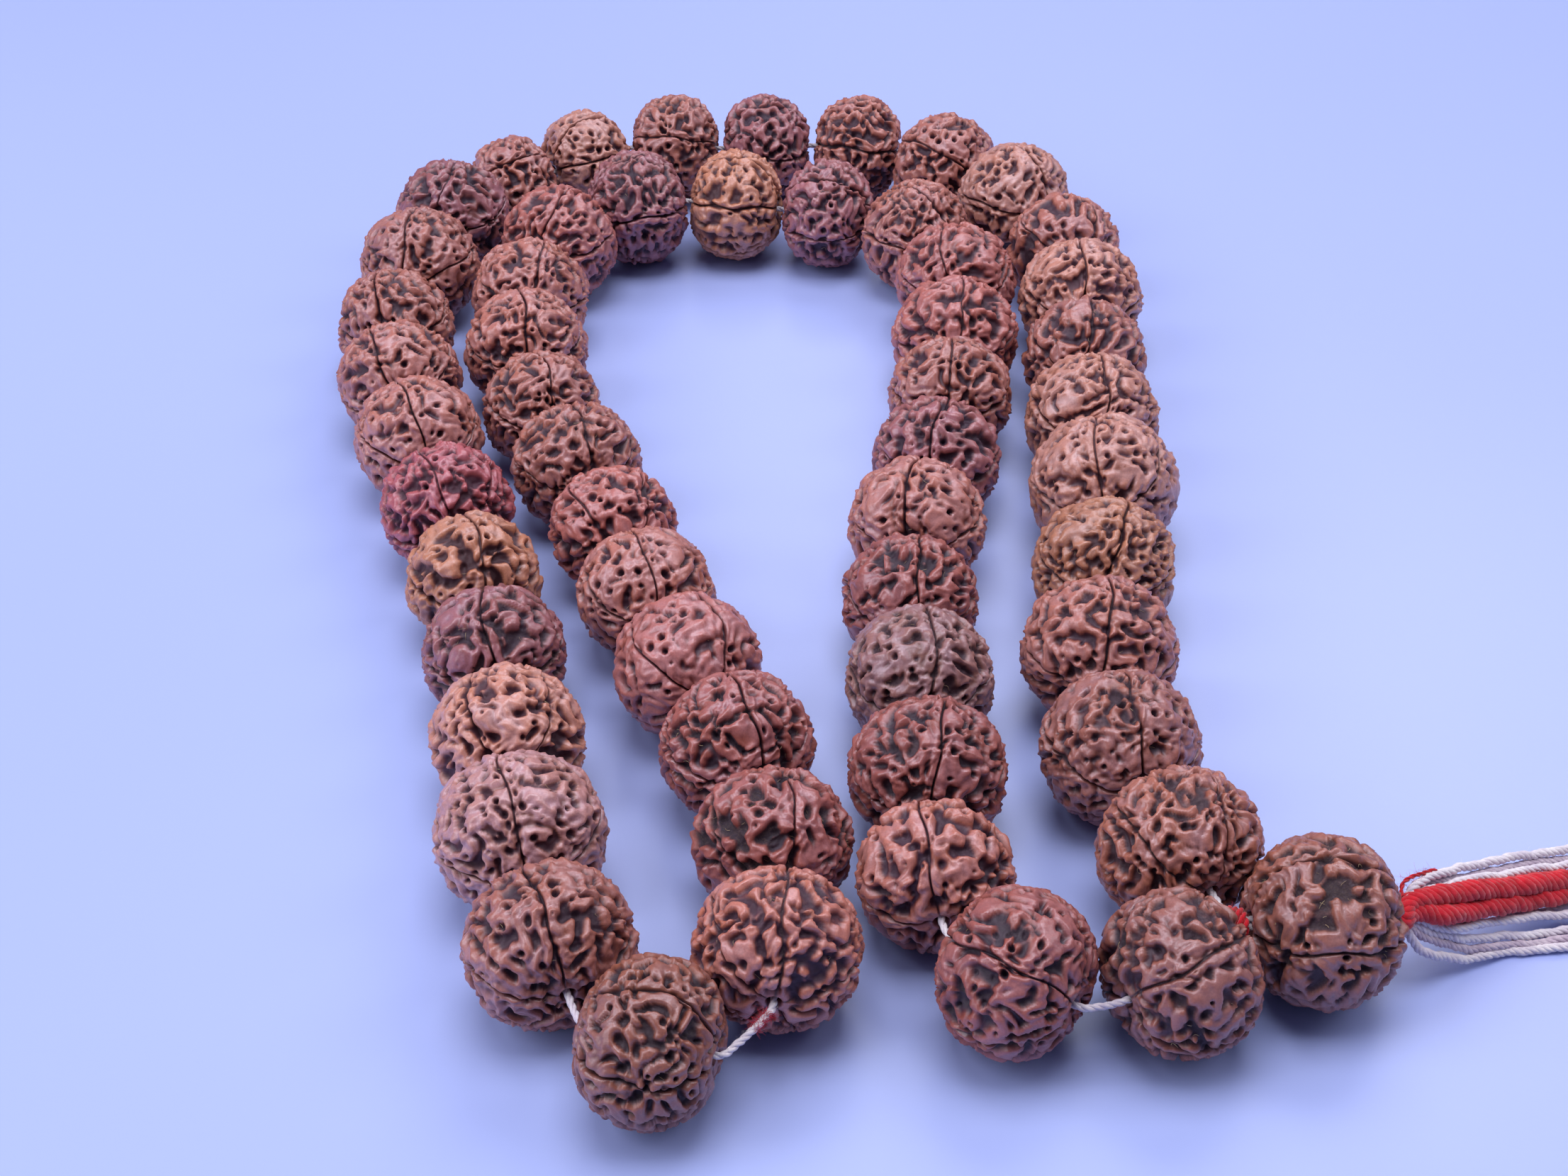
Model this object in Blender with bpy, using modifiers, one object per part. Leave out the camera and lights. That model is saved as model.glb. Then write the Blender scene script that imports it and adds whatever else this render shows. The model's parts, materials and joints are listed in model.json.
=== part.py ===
"""A kantha mala: fifty-four rudraksha seeds and a guru bead on one cotton cord.

The strand lies on a table in a doubled horseshoe. Its two ends meet at the
guru bead, where a few turns of red yarn bind them. They run through the guru
bead and meet a short tassel of cotton strands and red yarn on its far side.

Frame: metres, +Z up, the table is z = 0, the origin is the middle of the
strand's footprint on the table. Lengths below are millimetres.
"""
import math

import bpy
import numpy as np
from mathutils import Vector

MM = 0.001

# ---------------------------------------------------------------- the seeds
# Seeds are sorted into diameter grades half a millimetre apart, a = 22.0 mm.
GRADE_A = 22.0
GRADE_STEP = 0.5
SEED_GRADES = "hijhligifigfffcahhefffefgjhfhfggedfdgfhhfefhhffgeghehg"
POLAR_RATIO = 0.845          # pole-to-pole length over diameter
BORE_R = 1.35                # drilled hole
BORE_FLARE = 1.2             # depth over which the hole opens out to the rim
RIM_R = 0.24                 # rim of the hole mouth, over the seed's radius
SHOULDER = (0.76, 0.68)      # along the half-length, and over the radius
BAND = 0.30                  # half width of the equator band, over half-length
SIDES = 12

GURU_D = 25.5
GURU_L = 22.8
GURU_BORE_R = 2.1
GURU_AT = (78.3, -111.4)
GURU_HEADING = math.radians(2.0)

# ------------------------------------------------------- the cord's own way
CORD_D = 1.1
CORD_SIDE = 0.75             # each end's distance from the guru bead's axis
# Each run's line of poles starts at its first seed's near pole and ends at its
# last seed's far pole. The first run goes up the right outer side, over the top
# and down the left outer side. The second comes back along the inner side.
OUTER_RUN = (1, 27, [
    (63.5, -106.5), (51.5, -65.0), (58.5, -16.5), (59.5, 30.0), (62.5, 75.0),
    (58.0, 96.5), (43.5, 115.0), (27.0, 130.5), (-16.0, 131.5),
    (-38.5, 132.0), (-55.0, 120.5), (-70.5, 109.5), (-75.5, 88.0),
    (-80.5, 65.0), (-74.0, 24.0), (-58.0, -20.0), (-45.5, -64.0),
    (-37.5, -106.0), (-30.0, -126.0),
])
INNER_RUN = (29, 53, [
    (-1.5, -127.5), (-2.5, -87.0), (-19.0, -48.5), (-34.0, -7.0),
    (-50.5, 31.5), (-53.5, 53.5), (-53.0, 76.5), (-42.5, 99.0),
    (-21.5, 105.5), (-1.5, 102.5), (19.5, 99.0), (35.5, 84.0), (36.0, 60.0),
    (31.5, 16.5), (22.0, -26.0), (23.0, -70.5), (22.0, -93.5),
    (24.5, -115.0), (41.5, -127.5),
])
# The two seeds at the sharp turns: middle and heading in degrees.
FOOT_SEED = (28, (-18.4, -133.0), -16.0)
LAST_SEED = (54, (56.3, -121.0), 31.0)
CLEAR = 0.12                 # each seed to the plane halfway between the two
# Where the strand lies slack: more cord before the seed of this number.
SLACK = {4: 1.2, 19: 1.5, 22: 2.0, 23: 1.0, 24: 0.6, 51: 0.8}
MOST_STEP = 0.5              # how far the cord may ride off a hole's middle
LONG_GAP = 2.0               # a gap this long has the cord's bend in it

# -------------------------------------------------------------- the binding
BINDING_AT = 0.95            # its middle, before the guru bead's near pole
BINDING_HALF = 0.75
BINDING_BORE_R = 1.55
BINDING_R = 2.75

# --------------------------------------------------------------- the tassel
TASSEL_SET_IN = 0.2          # the tassel starts this far inside the far rim
TASSEL_ROOT_R = 1.0          # each bundle's distance from the middle there
TASSEL_STRANDS = {
    # name: (angle round the hole, thickest radius, way as (out, aside, height))
    "tassel_cotton_back": (45.0, 1.7, [
        (4, 4.2, 14.0), (10.5, 7.8, 12.6), (17.5, 11.2, 10.3), (25, 14.3, 8.2),
        (32, 17.0, 6.6), (43, 20.7, 3.6), (54, 23.4, 1.8), (63, 25.0, 1.8)]),
    "tassel_red_yarn": (165.0, 1.8, [
        (4, 2.0, 12.2), (10, 4.2, 10.6), (16.5, 7.0, 8.6), (24, 10.1, 6.5),
        (31, 12.7, 5.0), (42, 16.2, 2.9), (53, 18.9, 1.9), (62, 20.5, 1.9)]),
    "tassel_cotton_front": (285.0, 1.8, [
        (3.5, 0.3, 10.0), (8, 1.3, 7.2), (13.5, 3.3, 4.6), (21, 5.8, 3.0),
        (30, 7.8, 2.1), (42, 10.5, 1.9), (54, 12.8, 1.9), (63, 14.2, 1.9)]),
}

# --------------------------------------------------------------- the colours
TINTS = {
    "r": (0.300, 0.118, 0.072),   # red-brown, the common one
    "g": (0.430, 0.215, 0.105),   # golden tan
    "t": (0.400, 0.200, 0.130),   # light tan
    "d": (0.330, 0.200, 0.160),   # dusty
    "s": (0.390, 0.120, 0.100),   # salmon
    "m": (0.330, 0.062, 0.075),   # magenta red
    "p": (0.215, 0.105, 0.110),   # purple-brown
    "k": (0.200, 0.072, 0.048),   # dark
    "o": (0.350, 0.130, 0.065),   # warm orange-brown
}
SEED_TINTS = "orrgttrtrrrrrrtrrprrrmgptdrorkksrssrrrspgprssrprkdkrkr"
GURU_TINT = "o"
WHITE = (0.740, 0.690, 0.760)
RED = (0.520, 0.012, 0.030)


# ------------------------------------------------------------------ geometry
def smooth_line(points, step):
    """A natural cubic through the points, and its own points step apart."""
    p = np.array(points, float)
    n = len(p)
    u = np.concatenate([[0.0], np.cumsum(np.linalg.norm(p[1:] - p[:-1], axis=1))])
    h = np.diff(u)
    a = np.zeros((n, n))
    b = np.zeros((n, p.shape[1]))
    a[0, 0] = a[-1, -1] = 1.0
    for i in range(1, n - 1):
        a[i, i - 1 : i + 2] = h[i - 1], 2 * (h[i - 1] + h[i]), h[i]
        b[i] = 6 * ((p[i + 1] - p[i]) / h[i] - (p[i] - p[i - 1]) / h[i - 1])
    m = np.linalg.solve(a, b)
    s = np.append(np.arange(0.0, u[-1], step), u[-1])
    k = np.clip(np.searchsorted(u, s, side="right") - 1, 0, n - 2)
    t0, t1, hk = (s - u[k])[:, None], (u[k + 1] - s)[:, None], h[k][:, None]
    return (
        (m[k] * t1**3 + m[k + 1] * t0**3) / (6 * hk)
        + (p[k] / hk - m[k] * hk / 6) * t1
        + (p[k + 1] / hk - m[k + 1] * hk / 6) * t0
    )


def step_along(line, i, p, d):
    """The first point of the line past index i that is d from p."""
    j = i + 1
    while j < len(line) - 1 and np.linalg.norm(line[j] - p) < d:
        j += 1
    a, v = line[j - 1], line[j] - line[j - 1]
    w = a - p
    qa, qb, qc = v @ v, 2 * v @ w, w @ w - d * d
    t = (-qb + math.sqrt(max(qb * qb - 4 * qa * qc, 0.0))) / (2 * qa)
    return a + v * min(max(t, 0.0), 1.0), j - 1


def seed_profile(length, diameter, bore):
    """(radius, along) from the top rim down the outside, then up the bore."""
    a, r = length / 2, diameter / 2
    outer = [(RIM_R * r, a), (SHOULDER[1] * r, SHOULDER[0] * a), (r, BAND * a)]
    outer += [(x, -z) for x, z in reversed(outer)]
    if bore > BORE_R:
        outer[0] = (max(RIM_R * r, bore + 0.8), a)
        outer[-1] = (outer[0][0], -a)
    return outer + [(bore, -a + BORE_FLARE), (bore, a - BORE_FLARE)]


def reach(length, diameter, lean):
    """How far a seed reaches from its middle, at an angle to its axis."""
    return max(
        z * math.cos(lean) + x * math.sin(lean)
        for x, z in seed_profile(length, diameter, BORE_R)
    )


def grade_size(number):
    """Diameter and pole-to-pole length of a seed."""
    d = GRADE_A + GRADE_STEP * (ord(SEED_GRADES[number - 1]) - ord("a"))
    return d, POLAR_RATIO * d


def walk(line, first, last, share):
    """Seeds along a line with an equal share of cord between neighbours.

    In a bend the two seeds also keep clear of the plane halfway between them.
    """
    seeds, before = [], None
    for number in range(first, last + 1):
        d, length = grade_size(number)
        if before is None:
            a, ia = line[0], 0
            b, ib = step_along(line, ia, a, length)
        else:
            pole, i, way, l0, d0 = before
            gap = share + 0.3
            for _ in range(3):
                a, ia = step_along(line, i, pole, gap)
                b, ib = step_along(line, ia, a, length)
                lean = math.acos(max(-1.0, min(1.0, (b - a) @ way / length))) / 2
                need = sum(
                    (reach(l, w, lean) + CLEAR) / math.cos(lean) - l / 2
                    for l, w in ((l0, d0), (length, d))
                )
                gap = max(0.0, need) + share + SLACK.get(number, 0.0)
        before = (b, ib, (b - a) / np.linalg.norm(b - a), length, d)
        seeds.append({"a": a, "b": b, "d": d, "l": length})
    return seeds


def fill_run(run):
    """The seeds of one run, the share chosen so that they just fill it."""
    first, last, points = run
    line = smooth_line(points, 0.5)
    end, way = line[-1], line[-1] - line[-2]
    way = way / np.linalg.norm(way)
    line = np.vstack([line, [end + way * 0.5 * k for k in range(1, 160)]])

    def over(share):
        return float((walk(line, first, last, share)[-1]["b"] - end) @ way)

    s0, s1 = 0.2, 0.5
    e0 = over(s0)
    for _ in range(5):
        e1 = over(s1)
        if abs(e1) < 0.02 or abs(e1 - e0) < 1e-9:
            break
        s0, s1, e0 = s1, s1 - e1 * (s1 - s0) / (e1 - e0), e1
    return walk(line, first, last, s1)


def placed_seed(seed):
    number, middle, heading = seed
    d, length = grade_size(number)
    way = np.array([math.cos(math.radians(heading)), math.sin(math.radians(heading))])
    middle = np.array(middle)
    return {"a": middle - way * length / 2, "b": middle + way * length / 2,
            "d": d, "l": length}


def string_seeds():
    """All the seeds in order, each with its near and far pole."""
    return (fill_run(OUTER_RUN) + [placed_seed(FOOT_SEED)]
            + fill_run(INNER_RUN) + [placed_seed(LAST_SEED)])


# ------------------------------------------------------------------- objects
def clear_scene():
    for o in list(bpy.data.objects):
        bpy.data.objects.remove(o, do_unlink=True)


def material(name, colour, roughness):
    m = bpy.data.materials.new(name)
    m.use_nodes = True
    p = m.node_tree.nodes["Principled BSDF"]
    p.inputs["Base Color"].default_value = (*colour, 1.0)
    p.inputs["Roughness"].default_value = roughness
    p.inputs["Metallic"].default_value = 0.0
    m.diffuse_color = (*colour, 1.0)
    return m


def put(name, data, collection, at, mat, rotation=(0.0, 0.0, 0.0)):
    o = bpy.data.objects.new(name, data)
    o.location = at
    o.rotation_euler = rotation
    o.data.materials.append(mat)
    collection.objects.link(o)
    return o


def turned(name, profile, collection, at, heading, mat):
    """A closed profile turned about an axis that lies level at the heading.

    The profile starts half a side round from straight down, so that a flat
    of the turned piece faces the table.
    """
    turn = math.pi / SIDES
    mesh = bpy.data.meshes.new(name)
    points = [
        (x * MM * math.cos(turn), x * MM * math.sin(turn), z * MM) for x, z in profile
    ]
    n = len(points)
    mesh.from_pydata(points, [(i, (i + 1) % n) for i in range(n)], [])
    o = put(name, mesh, collection, at, mat, (0.0, math.pi / 2, heading))
    screw = o.modifiers.new("turned", "SCREW")
    screw.axis = "Z"
    screw.angle = 2 * math.pi
    screw.steps = screw.render_steps = SIDES
    screw.use_smooth_shade = True
    screw.merge_threshold = 0.00001
    return o


def tube(name, points, radius, collection, at, mat, radii=None):
    """A round cord through the points, with filled ends."""
    curve = bpy.data.curves.new(name, "CURVE")
    curve.dimensions = "3D"
    curve.bevel_depth = radius * MM
    curve.bevel_resolution = 2
    curve.use_fill_caps = True
    spline = curve.splines.new("POLY")
    spline.points.add(len(points) - 1)
    for i, p in enumerate(points):
        spline.points[i].co = (p[0] * MM, p[1] * MM, p[2] * MM, 1.0)
        if radii is not None:
            spline.points[i].radius = radii[i] / radius
    return put(name, curve, collection, at, mat)


def guru_frame():
    """The guru bead's middle, its way along the bore, and its left-hand way."""
    d = np.array([math.cos(GURU_HEADING), math.sin(GURU_HEADING), 0.0])
    side = np.array([-d[1], d[0], 0.0])
    middle = np.array([*GURU_AT, GURU_D / 2 * math.cos(math.pi / SIDES)])
    return middle, d, side


def cord_points(seeds):
    """The cord from inside the guru bead, through every seed, and back in."""
    middle, d, side = guru_frame()
    far = middle + d * (GURU_L / 2 - 0.9)
    near = middle - d * (GURU_L / 2 + 0.2)
    outside = middle - d * (GURU_L / 2 + BINDING_AT + BINDING_HALF + 0.5)
    height = [s["d"] / 2 * math.cos(math.pi / SIDES) for s in seeds]

    def lifted(p, z):
        return np.array([p[0], p[1], z])

    def end(sign, pole, z):
        """One end, from the bore out through the binding to a seed's pole."""
        s = side * sign * CORD_SIDE
        bend = outside + s * 1.5 - d * 0.2
        way = lifted(pole, z) - bend
        return [far + s, near + s, outside + s, bend + way * 0.45 + side * sign * 0.15]

    points = end(1.0, seeds[0]["a"], height[0])
    for n, s in enumerate(seeds):
        z = height[n]
        for pole, i in (("a", n - 1), ("b", n + 1)):
            step = (height[i] - z) / 2 if 0 <= i < len(seeds) else 0.0
            points.append(lifted(s[pole], z + min(max(step, -MOST_STEP), MOST_STEP)))
        if n + 1 < len(seeds):
            # A long stretch of bare cord bends on its way.
            nxt = seeds[n + 1]
            gap = np.linalg.norm(nxt["a"] - s["b"])
            if gap > LONG_GAP:
                bow = ((s["b"] - s["a"]) / s["l"]
                       - (nxt["b"] - nxt["a"]) / nxt["l"]) * gap / 8
                mid = (s["b"] + nxt["a"]) / 2 + bow
                points.append(lifted(mid, (z + height[n + 1]) / 2))
    points += reversed(end(-1.0, seeds[-1]["b"], height[-1]))
    return points


def main():
    clear_scene()
    collection = bpy.data.collections.new("mala_prayer_beads")
    bpy.context.scene.collection.children.link(collection)
    seeds = string_seeds()

    beads = []
    for n, s in enumerate(seeds):
        name = f"bead_{n + 1:02d}"
        middle = (s["a"] + s["b"]) / 2
        way = s["b"] - s["a"]
        at = Vector((*middle, s["d"] / 2 * math.cos(math.pi / SIDES))) * MM
        mat = material(name, TINTS[SEED_TINTS[n]], 0.5)
        beads.append(
            turned(name, seed_profile(s["l"], s["d"], BORE_R), collection, at,
                   math.atan2(way[1], way[0]), mat)
        )

    middle, d, side = guru_frame()
    beads.append(
        turned("guru_bead", seed_profile(GURU_L, GURU_D, GURU_BORE_R), collection,
               Vector(middle) * MM, GURU_HEADING,
               material("guru_bead", TINTS[GURU_TINT], 0.5))
    )

    pieces = list(beads)
    pieces.append(
        tube("stringing_cord", cord_points(seeds), CORD_D / 2, collection,
             Vector((0, 0, 0)), material("stringing_cord", WHITE, 0.9))
    )

    # Two turns of yarn round both ends of the cord.
    h, r, b = BINDING_HALF, BINDING_R, BINDING_BORE_R
    profile = [(r - 0.6, h), (r, 0.55 * h), (r - 0.25, 0.0), (r, -0.55 * h),
               (r - 0.6, -h), (b, -0.6 * h), (b, 0.6 * h)]
    at = middle - d * (GURU_L / 2 + BINDING_AT)
    red = material("yarn_binding", RED, 0.9)
    pieces.append(turned("yarn_binding", profile, collection, Vector(at) * MM,
                         GURU_HEADING, red))

    # The tassel hangs from the far mouth of the guru bead's bore. Its three
    # bundles are drawn from that mouth, which is where the tassel swings.
    root = middle + d * (GURU_L / 2 - TASSEL_SET_IN)
    up = np.array([0.0, 0.0, 1.0])
    for name, (angle, thick, way) in TASSEL_STRANDS.items():
        t = math.radians(angle)
        start = (side * math.cos(t) + up * math.sin(t)) * TASSEL_ROOT_R
        route = [start, start + d * 1.2]
        for out, aside, height in way:
            route.append(d * out + side * aside + up * (height - root[2]))
        points = smooth_line(route, 3.0)
        if np.linalg.norm(points[-1] - points[-2]) < 1.0:
            points = np.delete(points, -2, axis=0)
        run = np.linalg.norm(points - points[0], axis=1)
        radii = [0.7 + (thick - 0.7) * min(1.0, max(0.0, x - 2.0) / 14.0) for x in run]
        pieces.append(
            tube(name, points, thick, collection, Vector(root) * MM,
                 material(name, RED if "red" in name else WHITE, 0.9), radii)
        )

    # The origin is the middle of the strand's footprint on the table.
    bpy.context.view_layer.update()
    graph = bpy.context.evaluated_depsgraph_get()
    corners = []
    for o in beads:
        e = o.evaluated_get(graph)
        mesh = e.to_mesh()
        corners += [o.matrix_world @ v.co for v in mesh.vertices]
        e.to_mesh_clear()
    low = [min(c[i] for c in corners) for i in range(3)]
    high = [max(c[i] for c in corners) for i in range(3)]
    shift = Vector((-(low[0] + high[0]) / 2, -(low[1] + high[1]) / 2, -low[2]))
    for o in pieces:
        o.location += shift
    bpy.context.view_layer.update()


main()
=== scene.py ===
import json
import math

import bpy
import numpy as np
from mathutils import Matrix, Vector


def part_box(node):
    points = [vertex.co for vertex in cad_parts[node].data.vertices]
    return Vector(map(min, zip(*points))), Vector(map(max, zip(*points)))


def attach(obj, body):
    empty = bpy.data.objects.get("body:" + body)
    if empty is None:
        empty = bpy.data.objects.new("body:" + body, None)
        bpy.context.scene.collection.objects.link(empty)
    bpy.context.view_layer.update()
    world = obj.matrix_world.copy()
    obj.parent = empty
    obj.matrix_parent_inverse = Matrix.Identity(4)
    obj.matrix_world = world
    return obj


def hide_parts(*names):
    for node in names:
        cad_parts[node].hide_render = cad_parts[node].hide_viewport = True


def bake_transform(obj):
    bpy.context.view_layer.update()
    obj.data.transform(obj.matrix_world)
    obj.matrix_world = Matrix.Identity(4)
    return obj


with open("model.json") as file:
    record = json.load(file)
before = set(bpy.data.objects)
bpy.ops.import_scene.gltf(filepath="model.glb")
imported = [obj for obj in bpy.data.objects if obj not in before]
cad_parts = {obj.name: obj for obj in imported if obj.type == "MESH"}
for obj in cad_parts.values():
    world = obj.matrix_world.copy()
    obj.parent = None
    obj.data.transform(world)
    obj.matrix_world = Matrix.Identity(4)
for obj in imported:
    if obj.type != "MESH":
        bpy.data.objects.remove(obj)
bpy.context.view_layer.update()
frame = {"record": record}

MM = 0.001
scene = bpy.context.scene


def lin(r, g, b):
    """A display colour of 0 to 255 as linear numbers."""
    out = []
    for v in (r, g, b):
        v /= 255.0
        out.append(v / 12.92 if v <= 0.04045 else ((v + 0.055) / 1.055) ** 2.4)
    return tuple(out)


# ---------------------------------------------------------------- the camera
cam_data = bpy.data.cameras.new("camera")
cam_data.sensor_fit = "HORIZONTAL"
cam_data.sensor_width = 36.0
cam_data.lens = 48.52
cam_data.clip_start = 0.01
cam_data.clip_end = 20.0
cam = bpy.data.objects.new("camera", cam_data)
cam.location = (0.00098, -0.31998, 0.2432)
cam.rotation_euler = (math.radians(90.0 - 38.86), 0.0, 0.0)
scene.collection.objects.link(cam)
scene.camera = cam

# ------------------------------------------------- the way each seed is strung
JOINTS = {j["child"]: j for j in frame["record"]["behaviour"]["joints"]}
POLAR_RATIO = 0.845
FLAT = math.cos(math.pi / 12)  # a seed's twelve-sided solid rests on a flat
GURU_D, GURU_L = 25.5, 22.8


def unit(v):
    v = np.asarray(v, float)
    return v / np.linalg.norm(v)


def strung(name):
    """Middle, way along the bore, diameter and length of a seed, in mm."""
    low, high = (np.array(c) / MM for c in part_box(name))
    d = float(high[2] - low[2]) / FLAT
    way = unit(JOINTS[name + "_body"]["axis"])
    length = GURU_L if name == "guru_bead" else POLAR_RATIO * d
    return {"c": (low + high) / 2, "a": way, "d": d, "l": length}


NAMES = [f"bead_{n:02d}" for n in range(1, 55)]
SEEDS = [strung(n) for n in NAMES]
for i, s in enumerate(SEEDS):
    nxt = SEEDS[i + 1]["c"] if i < 53 else SEEDS[i]["c"] * 2 - SEEDS[i - 1]["c"]
    if np.dot(s["a"], nxt - s["c"]) < 0:
        s["a"] = -s["a"]
GURU = strung("guru_bead")
if GURU["a"][0] < 0:
    GURU["a"] = -GURU["a"]
G_SIDE = np.array([-GURU["a"][1], GURU["a"][0], 0.0])
UP = np.array([0.0, 0.0, 1.0])


# ------------------------------------------------------------- mesh helpers
def make_mesh(name, verts, faces, mats, smooth=True, mat_index=None):
    """verts in mm in the object frame; faces one array of quads or a list of arrays."""
    arrays = [faces] if isinstance(faces, np.ndarray) else list(faces)
    me = bpy.data.meshes.new(name)
    me.vertices.add(len(verts))
    me.vertices.foreach_set("co", (np.asarray(verts, np.float32) * MM).ravel())
    loops = np.concatenate([f.ravel() for f in arrays]).astype(np.int32)
    sizes = np.concatenate([np.full(len(f), f.shape[1]) for f in arrays]).astype(np.int32)
    starts = np.concatenate([[0], np.cumsum(sizes)[:-1]]).astype(np.int32)
    me.loops.add(len(loops))
    me.loops.foreach_set("vertex_index", loops)
    me.polygons.add(len(sizes))
    me.polygons.foreach_set("loop_start", starts)
    me.polygons.foreach_set("use_smooth", np.full(len(sizes), smooth))
    for m in mats:
        me.materials.append(m)
    if mat_index is not None:
        me.polygons.foreach_set("material_index", np.asarray(mat_index, np.int32))
    me.update(calc_edges=True)
    me.validate()
    o = bpy.data.objects.new(name, me)
    scene.collection.objects.link(o)
    return o


def attribute(o, name, values):
    a = o.data.attributes.new(name, "FLOAT", "POINT")
    a.data.foreach_set("value", np.asarray(values, np.float32))


def smooth_line(points, step):
    """A natural cubic through the points, and its own points step apart."""
    p = np.array(points, float)
    n = len(p)
    u = np.concatenate([[0.0], np.cumsum(np.linalg.norm(p[1:] - p[:-1], axis=1))])
    h = np.diff(u)
    a = np.zeros((n, n))
    b = np.zeros((n, p.shape[1]))
    a[0, 0] = a[-1, -1] = 1.0
    for i in range(1, n - 1):
        a[i, i - 1 : i + 2] = h[i - 1], 2 * (h[i - 1] + h[i]), h[i]
        b[i] = 6 * ((p[i + 1] - p[i]) / h[i] - (p[i] - p[i - 1]) / h[i - 1])
    m = np.linalg.solve(a, b)
    s = np.linspace(0.0, u[-1], max(2, int(round(u[-1] / step)) + 1))
    k = np.clip(np.searchsorted(u, s, side="right") - 1, 0, n - 2)
    t0, t1, hk = (s - u[k])[:, None], (u[k + 1] - s)[:, None], h[k][:, None]
    return (
        (m[k] * t1**3 + m[k + 1] * t0**3) / (6 * hk)
        + (p[k] / hk - m[k] * hk / 6) * t1
        + (p[k + 1] / hk - m[k + 1] * hk / 6) * t0
    )


def even(points, step):
    """A polyline's own points, step apart."""
    p = np.array(points, float)
    u = np.concatenate([[0.0], np.cumsum(np.linalg.norm(p[1:] - p[:-1], axis=1))])
    s = np.linspace(0.0, u[-1], max(2, int(round(u[-1] / step)) + 1))
    return np.stack([np.interp(s, u, p[:, i]) for i in range(3)], 1)


def frames(line):
    """Tangents and two turning-free normals along a line."""
    t = np.gradient(line, axis=0)
    t /= np.linalg.norm(t, axis=1)[:, None]
    ref = UP if abs(t[0] @ UP) < 0.9 else np.array([1.0, 0.0, 0.0])
    n = np.empty_like(t)
    v = ref - t[0] * (ref @ t[0])
    n[0] = v / np.linalg.norm(v)
    for i in range(1, len(t)):
        v = n[i - 1] - t[i] * (n[i - 1] @ t[i])
        n[i] = v / np.linalg.norm(v)
    return t, n, np.cross(t, n)


def sweep(line, radius, sides, closed_ends=True):
    """A tube about a line: vertices, quads and caps."""
    t, n, b = frames(line)
    k = len(line)
    r = np.broadcast_to(np.asarray(radius, float), (k,))
    w = np.arange(sides) * 2 * np.pi / sides
    ring = (np.cos(w)[None, :, None] * n[:, None, :]
            + np.sin(w)[None, :, None] * b[:, None, :])
    v = (line[:, None, :] + ring * r[:, None, None]).reshape(-1, 3)
    i = np.arange(k - 1)[:, None] * sides
    j = np.arange(sides)[None, :]
    j2 = (j + 1) % sides
    q = np.stack([i + j, i + j2, i + sides + j2, i + sides + j], -1).reshape(-1, 4)
    caps = []
    if closed_ends:
        v = np.vstack([v, line[0] - t[0] * r[0] * 0.3, line[-1] + t[-1] * r[-1] * 0.3])
        a, z = len(v) - 2, len(v) - 1
        j = np.arange(sides)
        j2 = (j + 1) % sides
        last = (k - 1) * sides
        caps = np.concatenate([
            np.stack([np.full(sides, a), j2, j], 1),
            np.stack([last + j, last + j2, np.full(sides, z)], 1),
        ])
    return v, q, caps


class Bundle:
    """Many tubes gathered into one mesh."""

    def __init__(self):
        self.v, self.q, self.c, self.attr, self.mat = [], [], [], {}, []
        self.cm, self.n = [], 0

    def tube(self, line, radius, sides, material=0, **attrs):
        v, q, c = sweep(line, radius, sides)
        self.q.append(q + self.n)
        self.c.append(c + self.n)
        self.mat.append(np.full(len(q), material))
        self.cm.append(np.full(len(c), material))
        for name, value in attrs.items():
            value = np.asarray(value, float)
            if value.ndim == 0:
                full = np.full(len(v), float(value))
            else:
                full = np.repeat(value, sides)
                full = np.concatenate([full, [value[0], value[-1]]])
            self.attr.setdefault(name, []).append(full)
        self.v.append(v)
        self.n += len(v)

    def build(self, name, mats):
        o = make_mesh(
            name, np.vstack(self.v),
            [np.vstack(self.q), np.vstack(self.c)], mats,
            mat_index=np.concatenate(self.mat + self.cm),
        )
        for key, parts in self.attr.items():
            attribute(o, key, np.concatenate(parts))
        return o


def wobble(rng, line, size, wave):
    """A slow sideways wander along a line, nothing at its ends."""
    t, n, b = frames(line)
    s = np.concatenate([[0.0], np.cumsum(np.linalg.norm(np.diff(line, axis=0), axis=1))])
    out = line.copy()
    ends = np.clip(np.minimum(s, s[-1] - s) / (wave * 0.7), 0, 1)
    for axis in (n, b):
        a = sum(
            np.sin(2 * np.pi * s / (wave * w) + rng.uniform(0, 7)) * g
            for w, g in ((1.0, 0.6), (0.53, 0.35), (0.31, 0.18))
        )
        out = out + axis * (a * size * ends)[:, None]
    return out


# --------------------------------------------------------------- the materials
def nodes_of(name):
    m = bpy.data.materials.new(name)
    m.use_nodes = True
    t = m.node_tree
    t.nodes.clear()
    out = t.nodes.new("ShaderNodeOutputMaterial")
    p = t.nodes.new("ShaderNodeBsdfPrincipled")
    t.links.new(p.outputs["BSDF"], out.inputs["Surface"])
    return m, t, p


def attr_node(t, name):
    n = t.nodes.new("ShaderNodeAttribute")
    n.attribute_type = "GEOMETRY"
    n.attribute_name = name
    return n.outputs["Fac"]


def noise(t, coord, scale, detail=3.0, rough=0.55, distortion=0.0):
    n = t.nodes.new("ShaderNodeTexNoise")
    n.noise_dimensions = "3D"
    n.inputs["Scale"].default_value = scale
    n.inputs["Detail"].default_value = detail
    n.inputs["Roughness"].default_value = rough
    n.inputs["Distortion"].default_value = distortion
    t.links.new(coord, n.inputs["Vector"])
    return n.outputs["Fac"]


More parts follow.
